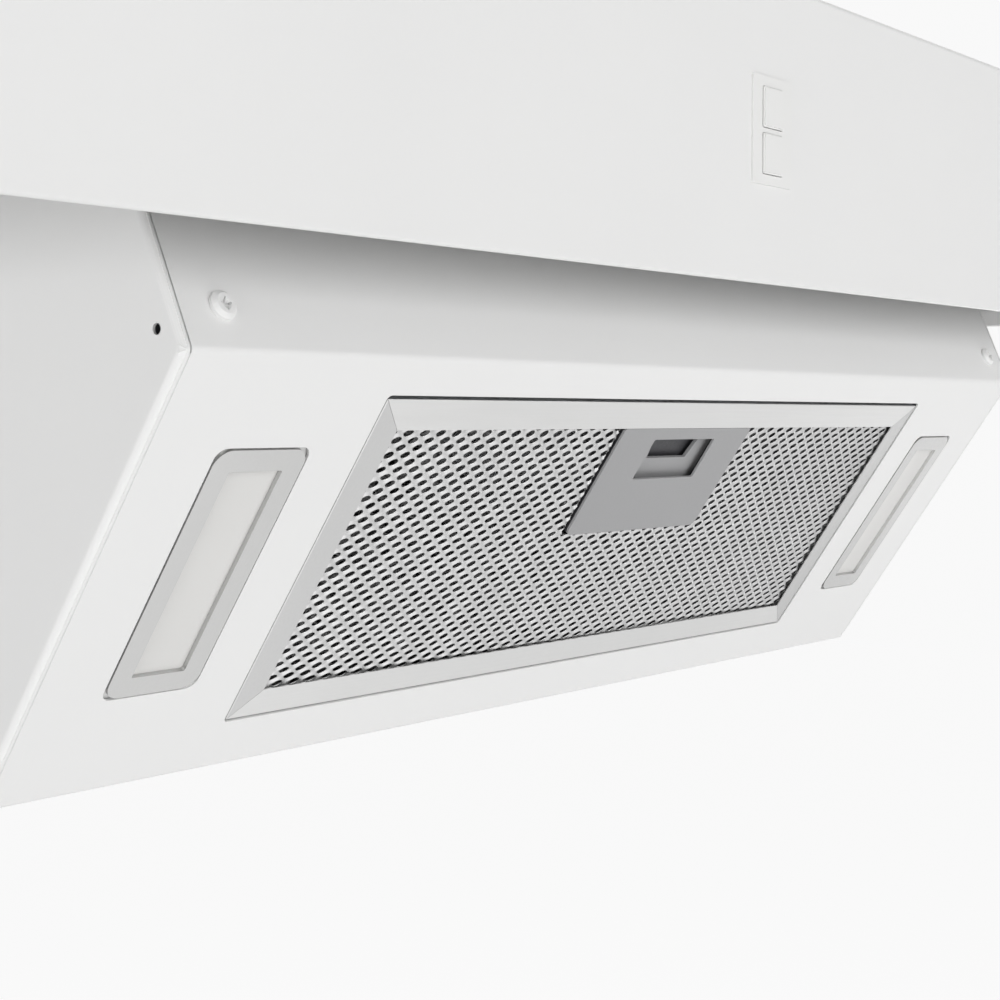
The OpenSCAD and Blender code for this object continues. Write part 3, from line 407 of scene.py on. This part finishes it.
def new_piece(name, points, faces, finish_name, smooth=True):
    """A mesh piece of the filter, its points given in the slope's directions."""
    mesh = bpy.data.meshes.new(name)
    mesh.from_pydata(from_slope(points).tolist(), [], faces)
    mesh.polygons.foreach_set("use_smooth", [smooth] * len(mesh.polygons))
    flat = np.asarray(points)[:, :2]
    flat = (flat - flat.min(0)) / (flat.max(0) - flat.min(0)).max()
    corner = np.empty(len(mesh.loops), dtype=np.int32)
    mesh.loops.foreach_get("vertex_index", corner)
    mesh.uv_layers.new(name="OFBake").data.foreach_set("uv", flat[corner].ravel())
    mesh.materials.append(finishes[finish_name])
    piece = bpy.data.objects.new(name, mesh)
    scene.collection.objects.link(piece)
    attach(piece, "filter")
    print(name, len(faces), "faces")
    return piece


# %% A sheet of expanded metal
most = 0.8  # a lozenge is left out once this share of its half size lies beyond the line
lozenge_rings = 5
weld_reach = 0.02 * mm


def lean_matrix(lean):
    return np.array([[math.cos(lean), math.sin(lean)], [-math.sin(lean), math.cos(lean)]])


def expanded_metal(name, finish_name, low, high, out, pitch, eye, lift, thick, jitter, lean,
                   keep_out, seed):
    """A sheet of expanded metal between two corners of the slope, at the height out.

    A lozenge that crosses the sheet's border, or the notch kept out for the catch, is cut
    there: its points beyond are drawn back to the line.
    """
    rng = np.random.default_rng(seed)
    half_x, half_v = pitch[0] / 2, pitch[1] / 2
    steps = 4 * side_steps
    middle = (low + high) / 2
    room = (high - middle)[:2]
    turned = lean_matrix(lean)
    columns = int((high[0] - low[0]) / 2 / half_x) + 2
    rows = int((high[1] - low[1]) / 2 / half_v) + 2
    points, faces = [], []
    for i in range(-columns, columns + 1):
        for j in range(-rows, rows + 1):
            if (i + j) % 2:
                continue
            x, v = np.array([i * half_x, j * half_v]) @ turned + middle[:2]
            beyond = np.abs((x, v) - middle[:2]) - room
            into = keep_out - (abs(x), v)
            if beyond[0] > most * half_x or beyond[1] > most * half_v:
                continue
            if into[0] > most * half_x and into[1] > most * half_v:
                continue
            size = 1 + jitter * rng.uniform(-1, 1, 3)
            eye_x, eye_v = eye[0] / 2 * size[0], eye[1] / 2 * size[1]
            rings = np.concatenate(lozenge(half_x, half_v, eye_x, eye_v, lift * size[2], thick))
            rings[:, :2] = rings[:, :2] @ turned
            rings += (x, v, out)
            rings[:, :2] = np.clip(rings[:, :2], low[:2], high[:2])
            inside = (np.abs(rings[:, 0]) < keep_out[0]) & (rings[:, 1] < keep_out[1])
            if into[0] < into[1]:
                rings[inside, 0] = math.copysign(keep_out[0], x)
            else:
                rings[inside, 1] = keep_out[1]
            first = len(points) * lozenge_rings * steps
            points.append(rings)
            for ring in range(lozenge_rings - 1):
                for k in range(steps):
                    here = first + ring * steps + k
                    after = first + ring * steps + (k + 1) % steps
                    faces.append((here, after, after + steps, here + steps))
    piece = new_piece(name, np.concatenate(points), faces, finish_name)
    weld = piece.modifiers.new("weld", "WELD")
    weld.merge_threshold = weld_reach
    return piece


# %% The front and the rear mesh
front_low, front_high = slope_range("filter_mesh_front")
rear_low, rear_high = slope_range("filter_mesh_rear")
catch_low, catch_high = slope_range("latch_plate")
catch_room = np.array([1.6, 0.4]) * mm  # beside the catch's plate, and below it
housing_room = 0.15 * mm
keep_out = catch_high[:2] + catch_room
rear_keep_out = slope_range("latch_housing")[1][:2] + housing_room
front_pitch = (8.8 * mm, 6.2 * mm)
front_eye = (4.9 * mm, 3.6 * mm)
front_lift = 0.42 * mm
under_catch = 0.05 * mm  # from the raised lips to the back of the catch's plate
front_out = catch_low[2] - under_catch - front_lift
front_mesh = expanded_metal("filter_front_mesh", "mesh_aluminium", front_low, front_high, front_out,
                            front_pitch, front_eye, front_lift, thick=0.5 * mm, jitter=0.07,
                            lean=math.radians(0.7), keep_out=keep_out, seed=1)
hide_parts("filter_mesh_front")
rear_pitch = (12.6 * mm, 9.2 * mm)
rear_eye = (8.8 * mm, 5.0 * mm)
rear_lift = 0.4 * mm
rear_out = rear_high[2] - 0.5 * mm
# the rear mesh takes the dark aluminium, painted shade deep in the filter
rear_mesh = expanded_metal("filter_rear_mesh", "inner_aluminium_painted_shade", rear_low, rear_high, rear_out,
                           rear_pitch, rear_eye, rear_lift, thick=0.4 * mm, jitter=0.05,
                           lean=math.radians(-1.0), keep_out=rear_keep_out, seed=2)
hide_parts("filter_mesh_rear")

# %% [markdown]
# Between the two meshes lie layers of thin slit foil that catch the grease. Only slivers of
# them show through the eyes, as thin bright lines in the dark. Flat strips on a leaning
# lattice are enough for that: each strand is one strip, tipped about its own length.

# %% A layer of foil


def foil_layer(name, low, high, out, pitch, width, lean, jitter, seed):
    """A lattice of tipped strips between two corners of the slope, round the catch."""
    rng = np.random.default_rng(seed)
    half = np.array(pitch) / 2
    middle = ((low + high) / 2)[:2]
    room = ((high - low) / 2)[:2]
    turned = lean_matrix(lean)
    notch = keep_out + half.max()
    count = int(np.hypot(*room) / half.min()) + 2
    reach = range(-count, count)
    spots = [(i, j) for i in reach for j in reach if (i + j) % 2 == 0]
    points, faces = [], []
    for i, j in spots:
        start = np.array([i, j]) * half @ turned
        if np.any(np.abs(start) > room - half.max()):
            continue
        across_here, down_here = start + middle
        if abs(across_here) < notch[0] and down_here < notch[1]:
            continue
        for way in ((1, 1), (1, -1)):
            end = (np.array([i, j]) + way) * half @ turned
            head, tail = [p + rng.uniform(-1, 1, 2) * jitter for p in (start, end)]
            side = np.array([head[1] - tail[1], tail[0] - head[0]])
            side *= width / 2 / np.hypot(*side)
            tip = rng.uniform(0.3, 1.0) * width / 2 * (1 if way[1] > 0 else -1)
            first = len(points)
            for p, edge in ((head, -1), (tail, -1), (tail, 1), (head, 1)):
                points.append((*(p + edge * side + middle), out + edge * tip))
            faces.append((first, first + 1, first + 2, first + 3))
    # the strips take the dark aluminium, painted shade inside the filter
    return new_piece(name, np.array(points), faces, "inner_aluminium_painted_shade", smooth=False)


# %% The three layers
foil_margin = 4 * mm
foil_jitter = 0.5 * mm
foil_low = np.maximum(front_low, rear_low) + foil_margin
foil_high = np.minimum(front_high, rear_high) - foil_margin
foils = (  # name, depth behind the front mesh, pitch and strip width in mm, lean, seed
    ("foil_layer_1", 2.0, (9.4, 6.6), 0.4, 22, 11),
    ("foil_layer_2", 3.0, (8.2, 5.8), 0.5, -17, 12),
    ("foil_layer_3", 4.0, (7.4, 5.4), 0.6, 38, 13),
)
for name, behind, pitch, width, lean, seed in foils:
    out = front_low[2] - behind * mm
    pitch = (pitch[0] * mm, pitch[1] * mm)
    foil_layer(name, foil_low, foil_high, out, pitch, width * mm, math.radians(lean), foil_jitter, seed)

# %% [markdown]
# ## The catch's spring
#
# A serpentine wire spring pushes the catch's slider up, and is squeezed when a finger pulls
# the slider down. It could stay the plain zigzag of the measured model, but that can't get
# shorter. A round wire on a smooth wave is built in its place.

# %% A serpentine spring
spring_low, spring_high = slope_range("latch_spring")
spring_length = spring_high[1] - spring_low[1]
wire = 0.5 * mm  # radius of the wire
waves = 3.5
wire_sides = 8
spring_steps = 141
way_down = np.linspace(0, 1, spring_steps)
swing = (spring_high[0] - spring_low[0]) / 2 - wire
path = np.column_stack([swing * np.cos(2 * math.pi * waves * way_down),
                        spring_low[1] + wire + (spring_length - 2 * wire) * way_down,
                        np.full(spring_steps, (spring_low[2] + spring_high[2]) / 2)])
along = np.gradient(path, axis=0)
along /= np.linalg.norm(along, axis=1)[:, None]
out_of_face = np.array([0, 0, 1])
aside = np.cross(along, out_of_face)
points, faces = [], []
for spot, across_wire in zip(path, aside):
    for k in range(wire_sides):
        turn = 2 * math.pi * k / wire_sides
        points.append(spot + wire * (math.cos(turn) * across_wire + math.sin(turn) * out_of_face))
for i in range(spring_steps - 1):
    for k in range(wire_sides):
        here, after = i * wire_sides + k, i * wire_sides + (k + 1) % wire_sides
        faces.append((here, after, after + wire_sides, here + wire_sides))
faces.append(tuple(range(wire_sides))[::-1])
faces.append(tuple(range(len(points) - wire_sides, len(points))))
spring = new_piece("catch_spring", np.array(points), faces, "bright_steel")
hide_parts("latch_spring")
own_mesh(spring)
